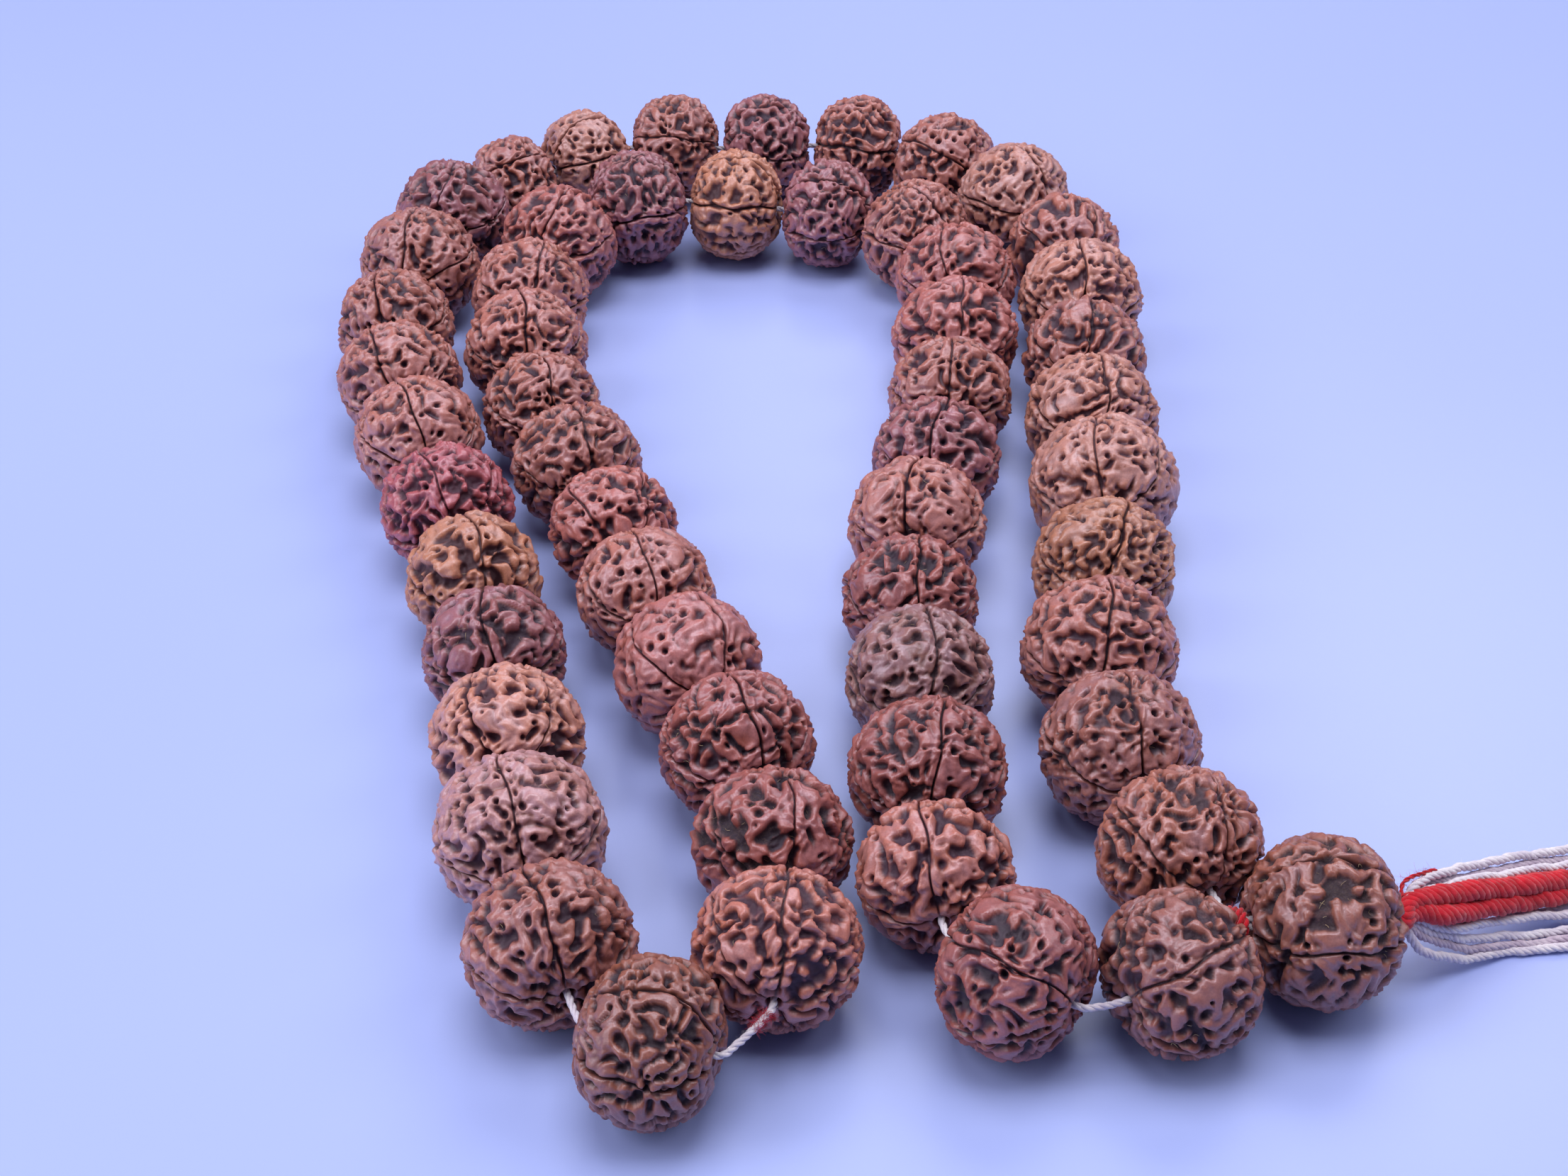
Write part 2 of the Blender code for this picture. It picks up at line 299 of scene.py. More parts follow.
def math_node(t, op, a, b=None, c=None, clamp=False):
    n = t.nodes.new("ShaderNodeMath")
    n.operation = op
    n.use_clamp = clamp
    for i, v in enumerate((a, b, c)):
        if v is None:
            continue
        if hasattr(v, "links"):
            t.links.new(v, n.inputs[i])
        else:
            n.inputs[i].default_value = v
    return n.outputs[0]


def ramp(t, fac, stops, interpolation="LINEAR"):
    n = t.nodes.new("ShaderNodeValToRGB")
    n.color_ramp.interpolation = interpolation
    while len(n.color_ramp.elements) > 1:
        n.color_ramp.elements.remove(n.color_ramp.elements[-1])
    for i, (at, colour) in enumerate(stops):
        e = n.color_ramp.elements[0] if i == 0 else n.color_ramp.elements.new(at)
        e.position = at
        e.color = (*colour, 1.0) if len(colour) == 3 else colour
    t.links.new(fac, n.inputs["Fac"])
    return n.outputs["Color"]


def mix(t, fac, a, b, blend="MIX"):
    n = t.nodes.new("ShaderNodeMix")
    n.data_type = "RGBA"
    n.blend_type = blend
    n.clamp_factor = True
    for key, v in ((0, fac), (6, a), (7, b)):
        if hasattr(v, "links"):
            t.links.new(v, n.inputs[key])
        elif key == 0:
            n.inputs[key].default_value = v
        else:
            n.inputs[key].default_value = (*v, 1.0)
    return n.outputs[2]


def scaled(c, k):
    return tuple(min(1.0, x * k) for x in c)


def seed_material(name, top, warm, deep, dusty):
    """Seed shell: ridge tops painted lighter and bluer as a lavender reflection, warm walls, floors painted dark as
    shade with dark oil, dust and fibre.
    """
    m, t, p = nodes_of(name)
    co = t.nodes.new("ShaderNodeTexCoord").outputs["Object"]
    relief, groove = attr_node(t, "relief"), attr_node(t, "groove")
    dust, tone = attr_node(t, "dust"), attr_node(t, "tone")
    cavity = attr_node(t, "cavity")

    wide = noise(t, co, 170.0, 3.0, 0.6)
    fine = noise(t, co, 900.0, 4.0, 0.65)
    grain = noise(t, co, 3200.0, 3.0, 0.6)

    # height on the surface, roughened a little by fine noise
    h = math_node(t, "ADD", relief, math_node(t, "MULTIPLY", math_node(t, "SUBTRACT", fine, 0.5), 0.22))
    # colour by height: pits and floors painted dark as shade, partly dark oil; ridge tops painted lighter and bluer as
    # a lavender reflection
    body = ramp(t, h, [
        (0.02, scaled(deep, 0.42)), (0.18, scaled(deep, 0.95)), (0.38, tuple(x * f for x, f in zip(warm, (0.52, 0.44, 0.60)))),
        (0.60, scaled(warm, 0.98)), (0.88, scaled(top, 1.12)),
    ])
    # slow drift between reddish and greyer shell
    grey = math_node(t, "MULTIPLY", ramp(t, wide, [(0.42, (0, 0, 0)), (0.68, (1, 1, 1))]), 0.40)
    body = mix(t, math_node(t, "MULTIPLY", grey, ramp(t, relief, [(0.35, (0, 0, 0)), (0.80, (1, 1, 1))])),
               body, dusty, "MIX")
    # high spots are a little lighter and warmer
    high_spot_lift = math_node(t, "MULTIPLY", math_node(t, "MAXIMUM", cavity, 0.0), 0.55, clamp=True)
    body = mix(t, high_spot_lift, body, scaled(warm, 1.35))
    # hollows painted darker: painted shade, partly dark oil
    hollow_shade_and_oil = math_node(t, "MULTIPLY", math_node(t, "MAXIMUM", math_node(t, "MULTIPLY", cavity, -1.0), 0.0), 0.62, clamp=True)
    body = mix(t, hollow_shade_and_oil, body, scaled(deep, 0.85))
    # crease lines painted darker: painted shade, partly dark oil
    body = mix(t, math_node(t, "MULTIPLY", groove, 0.80, clamp=True), body, scaled(deep, 0.6))
    # tiny mottling
    body = mix(t, 0.55, body, ramp(t, grain, [(0.25, (0.62, 0.60, 0.62)), (0.75, (1.18, 1.16, 1.14))]), "MULTIPLY")
    # dust and broken fibre in the hollows
    fibre = noise(t, co, 1500.0, 5.0, 0.75, 1.2)
    lint = ramp(t, fibre, [(0.46, (0, 0, 0)), (0.60, (1, 1, 1))])
    lint = math_node(t, "MULTIPLY", lint, dust, clamp=True)
    body = mix(t, math_node(t, "MULTIPLY", lint, 0.65), body, (0.150, 0.100, 0.092))
    bright = math_node(t, "ADD", 1.0, math_node(t, "MULTIPLY", tone, 0.28))
    hsv = t.nodes.new("ShaderNodeHueSaturation")
    hsv.inputs["Saturation"].default_value = 1.0
    t.links.new(bright, hsv.inputs["Value"])
    t.links.new(body, hsv.inputs["Color"])
    t.links.new(hsv.outputs["Color"], p.inputs["Base Color"])

    rough = ramp(t, h, [(0.1, (0.70,) * 3), (0.5, (0.44,) * 3), (0.9, (0.31,) * 3)])
    rough = math_node(t, "ADD", rough, math_node(t, "MULTIPLY", math_node(t, "SUBTRACT", fine, 0.5), 0.22))
    rough = math_node(t, "ADD", rough, math_node(t, "MULTIPLY", lint, 0.25), clamp=True)
    t.links.new(rough, p.inputs["Roughness"])
    p.inputs["Specular IOR Level"].default_value = 0.85
    p.inputs["Specular Tint"].default_value = (0.84, 0.84, 1.0, 1.0)
    p.inputs["IOR"].default_value = 1.5

    b1 = t.nodes.new("ShaderNodeBump")
    b1.inputs["Strength"].default_value = 0.35
    b1.inputs["Distance"].default_value = 0.00022
    t.links.new(fine, b1.inputs["Height"])
    b2 = t.nodes.new("ShaderNodeBump")
    b2.inputs["Strength"].default_value = 0.30
    b2.inputs["Distance"].default_value = 0.00008
    t.links.new(grain, b2.inputs["Height"])
    t.links.new(b1.outputs["Normal"], b2.inputs["Normal"])
    b3 = t.nodes.new("ShaderNodeBump")
    b3.inputs["Strength"].default_value = 0.6
    b3.inputs["Distance"].default_value = 0.0002
    t.links.new(lint, b3.inputs["Height"])
    t.links.new(b2.outputs["Normal"], b3.inputs["Normal"])
    t.links.new(b3.outputs["Normal"], p.inputs["Normal"])
    return m


def yarn_material(name, colour, shade, fleck, rough=0.85, sheen=0.25):
    """Spun fibre: thin hairs along each ply, a little soft sheen."""
    m, t, p = nodes_of(name)
    co = t.nodes.new("ShaderNodeTexCoord").outputs["Object"]
    along, ply = attr_node(t, "along"), attr_node(t, "ply")
    wide = noise(t, co, 260.0, 3.0, 0.6)
    hair = noise(t, co, 3600.0, 3.0, 0.7, 0.6)
    slub = noise(t, co, 1100.0, 2.0, 0.5)
    twist = math_node(t, "SINE", math_node(t, "ADD", math_node(t, "MULTIPLY", along, 5.2), math_node(t, "MULTIPLY", hair, 9.0)))
    twist = math_node(t, "MULTIPLY_ADD", twist, 0.5, 0.5)
    body = ramp(t, wide, [(0.3, shade), (0.62, colour)])
    body = mix(t, math_node(t, "MULTIPLY", twist, 0.22), body, scaled(shade, 0.8))
    body = mix(t, math_node(t, "MULTIPLY", ramp(t, slub, [(0.45, (0, 0, 0)), (0.7, (1, 1, 1))]), 0.35), body, fleck)
    t.links.new(body, p.inputs["Base Color"])
    r = math_node(t, "MULTIPLY_ADD", hair, 0.2, rough - 0.1, clamp=True)
    t.links.new(r, p.inputs["Roughness"])
    p.inputs["Specular IOR Level"].default_value = 0.25
    p.inputs["Sheen Weight"].default_value = sheen
    p.inputs["Sheen Roughness"].default_value = 0.5
    p.inputs["Subsurface Weight"].default_value = 0.0
    height = math_node(t, "ADD", math_node(t, "MULTIPLY", twist, 0.6), hair)
    b = t.nodes.new("ShaderNodeBump")
    b.inputs["Strength"].default_value = 0.55
    b.inputs["Distance"].default_value = 0.00012
    t.links.new(height, b.inputs["Height"])
    t.links.new(b.outputs["Normal"], p.inputs["Normal"])
    return m


COTTON = yarn_material("cotton_cord", lin(236, 228, 238), lin(205, 192, 214), lin(248, 243, 248), 0.9, 0.3)
# a darker mauve copy of the cotton for strands in shadow: painted shade, tinted mauve as painted light bounced off the
# red yarn
COTTON_PAINTED_SHADE = yarn_material("cotton_painted_shade", lin(212, 196, 212), lin(172, 150, 178), lin(230, 218, 230), 0.9, 0.25)
RED = yarn_material("red_yarn", lin(214, 14, 40), lin(168, 4, 26), lin(236, 44, 66), 0.8, 0.35)
RED_FUZZ = yarn_material("red_fuzz", lin(205, 40, 66), lin(170, 20, 44), lin(226, 92, 112), 0.85, 0.2)


def fibre_material():
    m, t, p = nodes_of("seed_fibre")
    co = t.nodes.new("ShaderNodeTexCoord").outputs["Object"]
    n = noise(t, co, 700.0, 3.0, 0.6)
    t.links.new(ramp(t, n, [(0.3, lin(120, 96, 82)), (0.7, lin(196, 172, 138))]), p.inputs["Base Color"])
    r = math_node(t, "MULTIPLY_ADD", n, 0.3, 0.5, clamp=True)
    t.links.new(r, p.inputs["Roughness"])
    b = t.nodes.new("ShaderNodeBump")
    b.inputs["Strength"].default_value = 0.3
    b.inputs["Distance"].default_value = 0.00003
    t.links.new(noise(t, co, 6000.0, 2.0), b.inputs["Height"])
    t.links.new(b.outputs["Normal"], p.inputs["Normal"])
    return m


FIBRE = fibre_material()

# ridge top (lighter and bluer: painted lavender reflection), warm wall, deep floor (dark: painted shade, partly dark
# oil), grey drift
TINTS = {
    "r": ("seed_red_brown", lin(176, 123, 123), lin(155, 89, 71), lin(65, 28, 47), lin(150, 111, 126)),
    "g": ("seed_golden_tan", lin(181, 131, 119), lin(170, 108, 78), lin(74, 32, 37), lin(158, 117, 118)),
    "t": ("seed_light_tan", lin(188, 141, 138), lin(172, 110, 89), lin(80, 38, 51), lin(171, 131, 137)),
    "d": ("seed_dusty_brown", lin(173, 132, 142), lin(156, 104, 92), lin(75, 36, 51), lin(161, 131, 146)),
    "s": ("seed_salmon", lin(171, 114, 117), lin(156, 85, 74), lin(66, 27, 44), lin(153, 110, 121)),
    "m": ("seed_magenta_red", lin(170, 103, 118), lin(152, 72, 76), lin(76, 27, 48), lin(158, 106, 120)),
    "p": ("seed_purple_brown", lin(159, 107, 121), lin(136, 78, 73), lin(56, 25, 47), lin(135, 103, 125)),
    "k": ("seed_dark_brown", lin(161, 103, 105), lin(140, 73, 62), lin(49, 22, 41), lin(128, 95, 117)),
    "o": ("seed_orange_brown", lin(165, 115, 113), lin(152, 86, 63), lin(60, 26, 39), lin(139, 104, 116)),
}
SEED_MATS = {k: seed_material(*v) for k, v in TINTS.items()}


# ------------------------------------------------------------ the seed's shell
def waves(rng, count, wavelength, spread, along=1.0):
    d = rng.normal(size=(count, 3))
    d /= np.linalg.norm(d, axis=1)[:, None]
    k = d * 2 * np.pi / (wavelength * (1 + spread * rng.uniform(-1, 1, (count, 1))))
    k[:, 0] /= along
    return k.astype(np.float32), rng.uniform(0, 2 * np.pi, count).astype(np.float32)


def wave_sum(p, w):
    k, phase = w
    return np.cos(p @ k.T + phase).sum(1) * math.sqrt(2.0 / len(phase))


def step01(x, a, b):
    x = np.clip((x - a) / (b - a), 0, 1)
    return x * x * (3 - 2 * x)


# name: main wave mm, threshold, floor depth, wall sharpness, crown, pits, pit
# size, knob size, along-stretch, broad swell
KINDS = {
    "maze": (2.8, -0.68, 0.90, 3.2, 0.46, 120, 0.52, 0.14, 1.0, 0.30),
    "pitted": (3.2, -1.10, 0.86, 3.0, 0.40, 150, 0.53, 0.13, 1.0, 0.34),
    "knobby": (2.8, -0.25, 0.85, 2.6, 0.52, 80, 0.50, 0.13, 1.0, 0.30),
    "folds": (3.7, -0.62, 1.15, 2.9, 0.50, 120, 0.54, 0.14, 1.0, 0.36),
    "ridged": (2.7, -0.55, 0.90, 2.9, 0.46, 100, 0.50, 0.14, 1.8, 0.30),
    "smooth": (3.8, -1.45, 0.80, 2.7, 0.34, 110, 0.50, 0.12, 1.2, 0.45),
    "net": (3.3, -0.50, 0.90, 3.4, 0.46, 30, 0.50, 0.12, 1.0, 0.20),
}


def profile(d, length, rows, bore):
    """A seed's section, from one rim over the outside to the other rim."""
    r, a = d / 2 * 0.985, length / 2 * 0.99
    u = np.linspace(-math.pi / 2, math.pi / 2, 4000)
    n = 2.0 / 2.28
    rho = r * np.abs(np.cos(u)) ** n
    z = a * np.sign(np.sin(u)) * np.abs(np.sin(u)) ** n
    # the pole sinks to the hole
    z = z - np.sign(z) * 0.9 * step01(4.4 - rho, 0.0, 3.4)
    keep = rho >= bore
    rho, z = rho[keep], z[keep]
    s = np.concatenate([[0.0], np.cumsum(np.hypot(np.diff(rho), np.diff(z)))])
    at = np.linspace(0, s[-1], rows)
    return np.interp(at, s, z), np.interp(at, s, rho)


def blur(h, k):
    """A box blur on the grid, wrapped round the seed, clamped at the rims."""
    def run(a, axis, wrap):
        pads = [(0, 0), (0, 0)]
        pads[axis] = (k, k)
        b = np.pad(a, pads, mode="wrap" if wrap else "edge")
        c = np.cumsum(b, axis=axis)
        c = np.insert(c, 0, 0.0, axis=axis)
        n = a.shape[axis]
        if axis == 0:
            return (c[2 * k + 1 : 2 * k + 1 + n] - c[:n]) / (2 * k + 1)
        return (c[:, 2 * k + 1 : 2 * k + 1 + n] - c[:, :n]) / (2 * k + 1)
    return run(run(h, 0, False), 1, True)


def seed(name, number, s, kind, tint, mukhi, phase, dusty, detail):
    rng = np.random.default_rng(9000 + number * 17)
    lam, cut, depth, sharp, crown, pits, pit_r, knob, along, swell = KINDS[kind]
    lam *= rng.uniform(0.93, 1.08)
    bore = 1.25 if number < 55 else 2.0
    rows, cols = (int(132 * detail), mukhi * int(round(250 * detail / mukhi)))
    z, rho = profile(s["d"], s["l"], rows, bore)

    # creases from pole to pole, and columns of the grid that follow them
    per = cols // mukhi
    v = np.linspace(0, 1, rows)
    at = phase + (np.arange(mukhi) + rng.uniform(-0.12, 0.12, mukhi)) * 2 * math.pi / mukhi
    wander = np.stack([
        0.05 * np.sin(v * 6.3 * rng.uniform(0.6, 1.2) + rng.uniform(0, 6.3))
        + 0.028 * np.sin(v * 6.3 * rng.uniform(1.8, 3.2) + rng.uniform(0, 6.3))
        for _ in range(mukhi)
    ])
    lines = at[:, None] + wander
    f = np.arange(per) / per
    f = f - 0.62 * np.sin(2 * np.pi * f) / (2 * np.pi)
    phi = np.empty((rows, cols))
    crease = np.empty((rows, cols))
    share = np.empty((rows, cols))
    for k in range(mukhi):
        a0 = lines[k]
        a1 = lines[(k + 1) % mukhi] + (2 * math.pi if k == mukhi - 1 else 0.0)
        span = (a1 - a0)[:, None]
        block = slice(k * per, (k + 1) * per)
        phi[:, block] = a0[:, None] + span * f[None, :]
        left, right = span * f[None, :], span * (1 - f[None, :])
        crease[:, block] = np.minimum(left, right) * rho[:, None]
        share[:, block] = np.minimum(f, 1 - f)[None, :]

    dz, dr = np.gradient(z), np.gradient(rho)
    ln = np.hypot(dz, dr)
    nz, nr = -dr / ln, dz / ln
    c, sn = np.cos(phi), np.sin(phi)
    base = np.stack([np.broadcast_to(z[:, None], phi.shape), rho[:, None] * c, rho[:, None] * sn], -1)
    normal = np.stack([np.broadcast_to(nz[:, None], phi.shape), nr[:, None] * c, nr[:, None] * sn], -1)
    p = base.reshape(-1, 3).astype(np.float32)

    # the maze of ridges
    warp = np.stack([wave_sum(p, waves(rng, 16, 7.0, 0.3)) for _ in range(3)], 1)
    q = p + warp * 0.55
    x = wave_sum(q, waves(rng, 42, lam, 0.24, along))
    x += 0.33 * wave_sum(q, waves(rng, 42, lam * 0.55, 0.25, along))
    region = wave_sum(p, waves(rng, 14, 13.0, 0.3))
    x = x - cut + 0.30 * region
    x = x.reshape(phi.shape)
    # a ridge runs along each side of a crease, and none crosses it
    lip = np.exp(-(((crease - 1.0) / 0.75) ** 2))
    x = x * (1 - 0.45 * lip) + 0.55 * lip
    wall = 0.5 + 0.5 * np.tanh(x * sharp * 0.5)
    h = -depth * (1 - wall)
    h += crown * (1 - np.exp(-np.maximum(x, 0.0) / 0.55)) - crown * 0.8

    # broad swells and small lumps
    h += (0.16 + 0.5 * swell) * 0.5 * wave_sum(p, waves(rng, 20, 8.0, 0.35)).reshape(phi.shape)
    h += knob * wave_sum(q, waves(rng, 36, 1.9, 0.25)).reshape(phi.shape) * (0.45 + 0.55 * wall)
    h += 0.045 * wave_sum(q, waves(rng, 36, 0.95, 0.25)).reshape(phi.shape)

    # round and oval holes
    count = int(pits * (s["d"] / 25.0) ** 2)
    d3 = rng.normal(size=(count * 3, 3))
    d3 /= np.linalg.norm(d3, axis=1)[:, None]
    spots = d3 * np.array([s["l"] / 2, s["d"] / 2, s["d"] / 2]) * 0.985
    kept = []
    for sp in spots:
        if len(kept) < count and all(np.linalg.norm(sp - k) > 1.9 for k in kept) and abs(sp[0]) < s["l"] * 0.43:
            kept.append(sp)
    pit = np.zeros(len(p), np.float32)
    rim = np.zeros(len(p), np.float32)
    for sp in kept:
        r = pit_r * rng.uniform(0.62, 1.35)
        e = rng.uniform(0.5, 1.0)
        dd = p - sp.astype(np.float32)
        near = np.nonzero((np.abs(dd) < r * 3.6).all(1))[0]
        if not len(near):
            continue
        dn = dd[near]
        tang = rng.normal(size=3)
        tang /= np.linalg.norm(tang)
        dist = np.sqrt(np.maximum((dn**2).sum(1) - (1 - e * e) * (dn @ tang) ** 2, 0.0))
        deep = rng.uniform(1.0, 1.9) * min(1.0, r / 0.5)
        g = step01(1.36 * r - dist, 0.0, 0.80 * r)
        pit[near] = np.maximum(pit[near], deep * g)
        rim[near] += 0.10 * np.exp(-(((dist - 1.6 * r) / (0.5 * r)) ** 2))
    pit = pit.reshape(phi.shape)
    clear = step01(crease, 0.3, 1.1)
    h += (rim.reshape(phi.shape) - pit) * (0.25 + 0.75 * wall) * clear

    # creases, each with its own depth, lips and lobes between
    # a column belongs to the nearer crease
    owner = np.floor(np.arange(cols) / per + 0.5).astype(int) % mukhi
    gdep = rng.uniform(0.65, 1.15, mukhi)[owner][None, :]
    gwid = rng.uniform(0.12, 0.20, mukhi)[owner][None, :]
    h += 0.22 * lip
    h -= 0.30 * np.exp(-((crease / 2.4) ** 2))
    cut_in = np.exp(-((crease / gwid) ** 2))
    h = h * (1 - 0.5 * cut_in) - gdep * cut_in
    groove = np.exp(-((crease / (gwid * 1.35)) ** 2))

    # quiet at the rims
    rim_fade = step01(np.minimum(rho - bore, 2.0), 0.1, 1.4)[:, None]
    h = h * rim_fade
    # the seeds that slide, and their neighbours, keep their tops low
    if number in (28, 29, 53, 54):
        h = np.where(h > -0.1, -0.1 + 0.3 * np.tanh((h + 0.1) / 0.45), h)
    h = np.clip(h, -2.6, 0.55)

    # fine grid measures for the colours
    kb = max(2, int(round(4 * detail)))
    soft = blur(blur(h, kb), kb)
    cavity = np.clip((h - soft) / 0.42, -1.6, 1.2)
    relief = np.clip((h + 1.45) / 1.6 - 0.28 * np.minimum(pit, 1.0) * clear, 0, 1)
    patch = wave_sum(p, waves(rng, 16, 9.0, 0.3)).reshape(phi.shape)
    dust = np.clip(dusty * (0.75 + 0.6 * patch), 0, 1) * step01(-h, 0.40, 0.90)
    dust = np.maximum(dust * 0.8, groove * 0.7 * (rng.random(mukhi)[owner][None, :] < dusty * 0.5))

    pos = base + normal * h[..., None]

    out_rows = pos.reshape(-1, 3)

    # the bore closes the shell
    inner = 7
    zi = np.linspace(z[-1], z[0], inner + 2)[1:-1]
    tube = []
    for i, zz in enumerate(zi):
        w = (i + 1) / (inner + 1)
        ang = phi[-1] * (1 - w) + phi[0] * w
        tube.append(np.stack([np.full(cols, zz), bore * np.cos(ang), bore * np.sin(ang)], -1))
    tube = np.concatenate(tube)
    allp = np.vstack([out_rows, tube])
    total = rows + inner
    i = np.arange(total)[:, None]
    j = np.arange(cols)[None, :]
    i2, j2 = (i + 1) % total, (j + 1) % cols
    quads = np.stack([
        np.broadcast_to(i * cols + j, (total, cols)), i * cols + j2, i2 * cols + j2, i2 * cols + j
    ], -1).reshape(-1, 4)

    def full(a, fill):
        return np.concatenate([a.ravel(), np.full(inner * cols, fill)])

    # place it
    ax = s["a"]
    e1 = UP
    e2 = np.cross(ax, e1)
    world = s["c"] + np.outer(allp[:, 0], ax) + np.outer(allp[:, 1], e1) + np.outer(allp[:, 2], e2)
    world[:, 2] = np.maximum(world[:, 2], 0.02)
    # faces outward
    a, b, cc = world[quads[:, 0]], world[quads[:, 1]], world[quads[:, 2]]
    if np.einsum("ij,ij->i", a - s["c"], np.cross(b - s["c"], cc - s["c"])).sum() < 0:
        quads = quads[:, ::-1]

    faces, mats = [quads.astype(np.int64)], [SEED_MATS[tint], FIBRE]
    index = [np.zeros(len(quads), int)]
    attrs = {
        "relief": full(relief, 0.15), "groove": full(groove, 0.6), "dust": full(dust, 0.0),
        "cavity": full(cavity, -1.0),
        "tone": np.full(len(world), TONE.get(number, rng.uniform(-0.35, 0.35))),
    }

    # loose dry fibres that stand in the hollows
    hairs = int(dusty * 90)
    if hairs:
        low = np.nonzero((h.ravel() < -0.75) & (groove.ravel() < 0.3))[0]
        if len(low):
            b2 = Bundle()
            pick = rng.choice(low, hairs)
            world_n = (np.outer(normal.reshape(-1, 3)[pick, 0], ax) + np.outer(normal.reshape(-1, 3)[pick, 1], e1)
                       + np.outer(normal.reshape(-1, 3)[pick, 2], e2))
            for w, nn in zip(world[pick], world_n):
                tdir = rng.normal(size=3)
                tdir -= nn * (tdir @ nn)
                tdir /= np.linalg.norm(tdir)
                ln2 = rng.uniform(0.5, 1.5)
                bend = rng.normal(size=3) * 0.16
                k = np.linspace(-0.5, 0.5, 5)[:, None]
                line = w + nn * 0.12 + tdir * ln2 * k + nn * (0.30 * (k + 0.5)) * rng.uniform(-0.2, 1.0) + bend * (k * k * 4)
                b2.tube(line, 0.035 * rng.uniform(0.7, 1.4), 3, 1)
            n0 = len(world)
            fv = np.vstack(b2.v)
            fq, fc = np.vstack(b2.q) + n0, np.vstack(b2.c) + n0
            fv[:, 2] = np.maximum(fv[:, 2], 0.02)
            world = np.vstack([world, fv])
            faces += [fq, fc]
            index += [np.ones(len(fq), int), np.ones(len(fc), int)]
            for key in attrs:
                attrs[key] = np.concatenate([attrs[key], np.full(len(fv), 0.8 if key == "relief" else 0.0)])

    o = make_mesh(name + "_seed", world, faces, mats, mat_index=np.concatenate(index))
    for key, val in attrs.items():
        attribute(o, key, val)
    body = name + "_body"
    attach(o, body)
    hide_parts(name)
    return o


# seeds that are clearly darker or paler than their tint
TONE = {28: -1.0, 54: -1.0, 50: -0.9, 2: -0.6, 27: -0.5, 29: 0.6, 26: 0.5, 55: -0.7}

# number: (kind, tint, creases, phase in degrees from the top, dust)
SPECS = {
    1: ("maze", "o", 5, 20, 0.25), 2: ("pitted", "r", 5, 0, 0.3), 3: ("maze", "r", 5, 0, 0.5),
    4: ("maze", "g", 5, 5, 0.1), 5: ("pitted", "t", 5, -20, 0.1), 6: ("maze", "t", 5, 0, 0.1),
    7: ("ridged", "r", 5, 10, 0.1), 8: ("maze", "t", 5, 0, 0.1), 9: ("ridged", "r", 5, 20, 0.1),
    10: ("pitted", "t", 5, 0, 0.1), 11: ("maze", "r", 5, 30, 0.1), 12: ("knobby", "r", 5, 0, 0.1),
    13: ("maze", "p", 5, 0, 0.1), 14: ("maze", "r", 5, 20, 0.1), 15: ("pitted", "t", 5, 0, 0.1),
    16: ("maze", "r", 5, 40, 0.1), 17: ("maze", "p", 5, 0, 0.1), 18: ("pitted", "r", 5, 0, 0.1),
    19: ("maze", "r", 5, 10, 0.1), 20: ("maze", "r", 5, 20, 0.1), 21: ("pitted", "r", 5, 0, 0.2),
    22: ("knobby", "m", 5, 20, 0.15), 23: ("folds", "g", 5, 0, 0.1), 24: ("maze", "p", 5, 0, 0.5),
    25: ("folds", "t", 5, 30, 0.15), 26: ("pitted", "d", 5, 5, 0.3), 27: ("maze", "r", 5, 0, 0.2),
    28: ("maze", "o", 5, 0, 0.2), 29: ("knobby", "r", 5, 15, 0.15), 30: ("folds", "k", 5, 10, 0.8),
    31: ("maze", "k", 5, 0, 0.4), 32: ("smooth", "s", 5, 20, 0.1), 33: ("pitted", "r", 5, 0, 0.2),
    34: ("folds", "s", 5, 30, 0.1), 35: ("maze", "r", 5, 0, 0.2), 36: ("maze", "r", 5, 0, 0.1),
    37: ("maze", "r", 5, 0, 0.1), 38: ("maze", "r", 5, 10, 0.1), 39: ("ridged", "s", 5, 0, 0.1),
    40: ("maze", "p", 5, 0, 0.1), 41: ("ridged", "g", 6, 0, 0.1), 42: ("maze", "p", 5, 20, 0.1),
    43: ("maze", "r", 5, 0, 0.1), 44: ("maze", "s", 5, 10, 0.1), 45: ("folds", "s", 5, 0, 0.3),
    46: ("maze", "r", 5, 0, 0.1), 47: ("folds", "p", 5, 0, 0.1), 48: ("pitted", "r", 5, 0, 0.1),
    49: ("maze", "k", 5, 0, 0.2), 50: ("pitted", "d", 5, 0, 0.4), 51: ("maze", "k", 5, 0, 0.3),
    52: ("folds", "r", 5, 20, 0.05), 53: ("ridged", "k", 5, 30, 0.15), 54: ("knobby", "r", 5, 30, 0.35),
}
FRONT = {1, 2, 3, 25, 26, 27, 28, 29, 30, 31, 50, 51, 52, 53, 54}
for n, (kind, tint, mukhi, phase, dusty) in SPECS.items():
    detail = 1.12 if n in FRONT else 0.92
    seed(NAMES[n - 1], n, SEEDS[n - 1], kind, tint, mukhi, math.radians(phase), dusty, detail)
seed("guru_bead", 55, GURU, "net", "o", 5, math.radians(-8), 0.9, 1.2)


# ----------------------------------------------------------------- the string
CORD_R, CORD_SIDE = 0.55, 0.75
BINDING_AT, BINDING_HALF = 0.95, 0.75


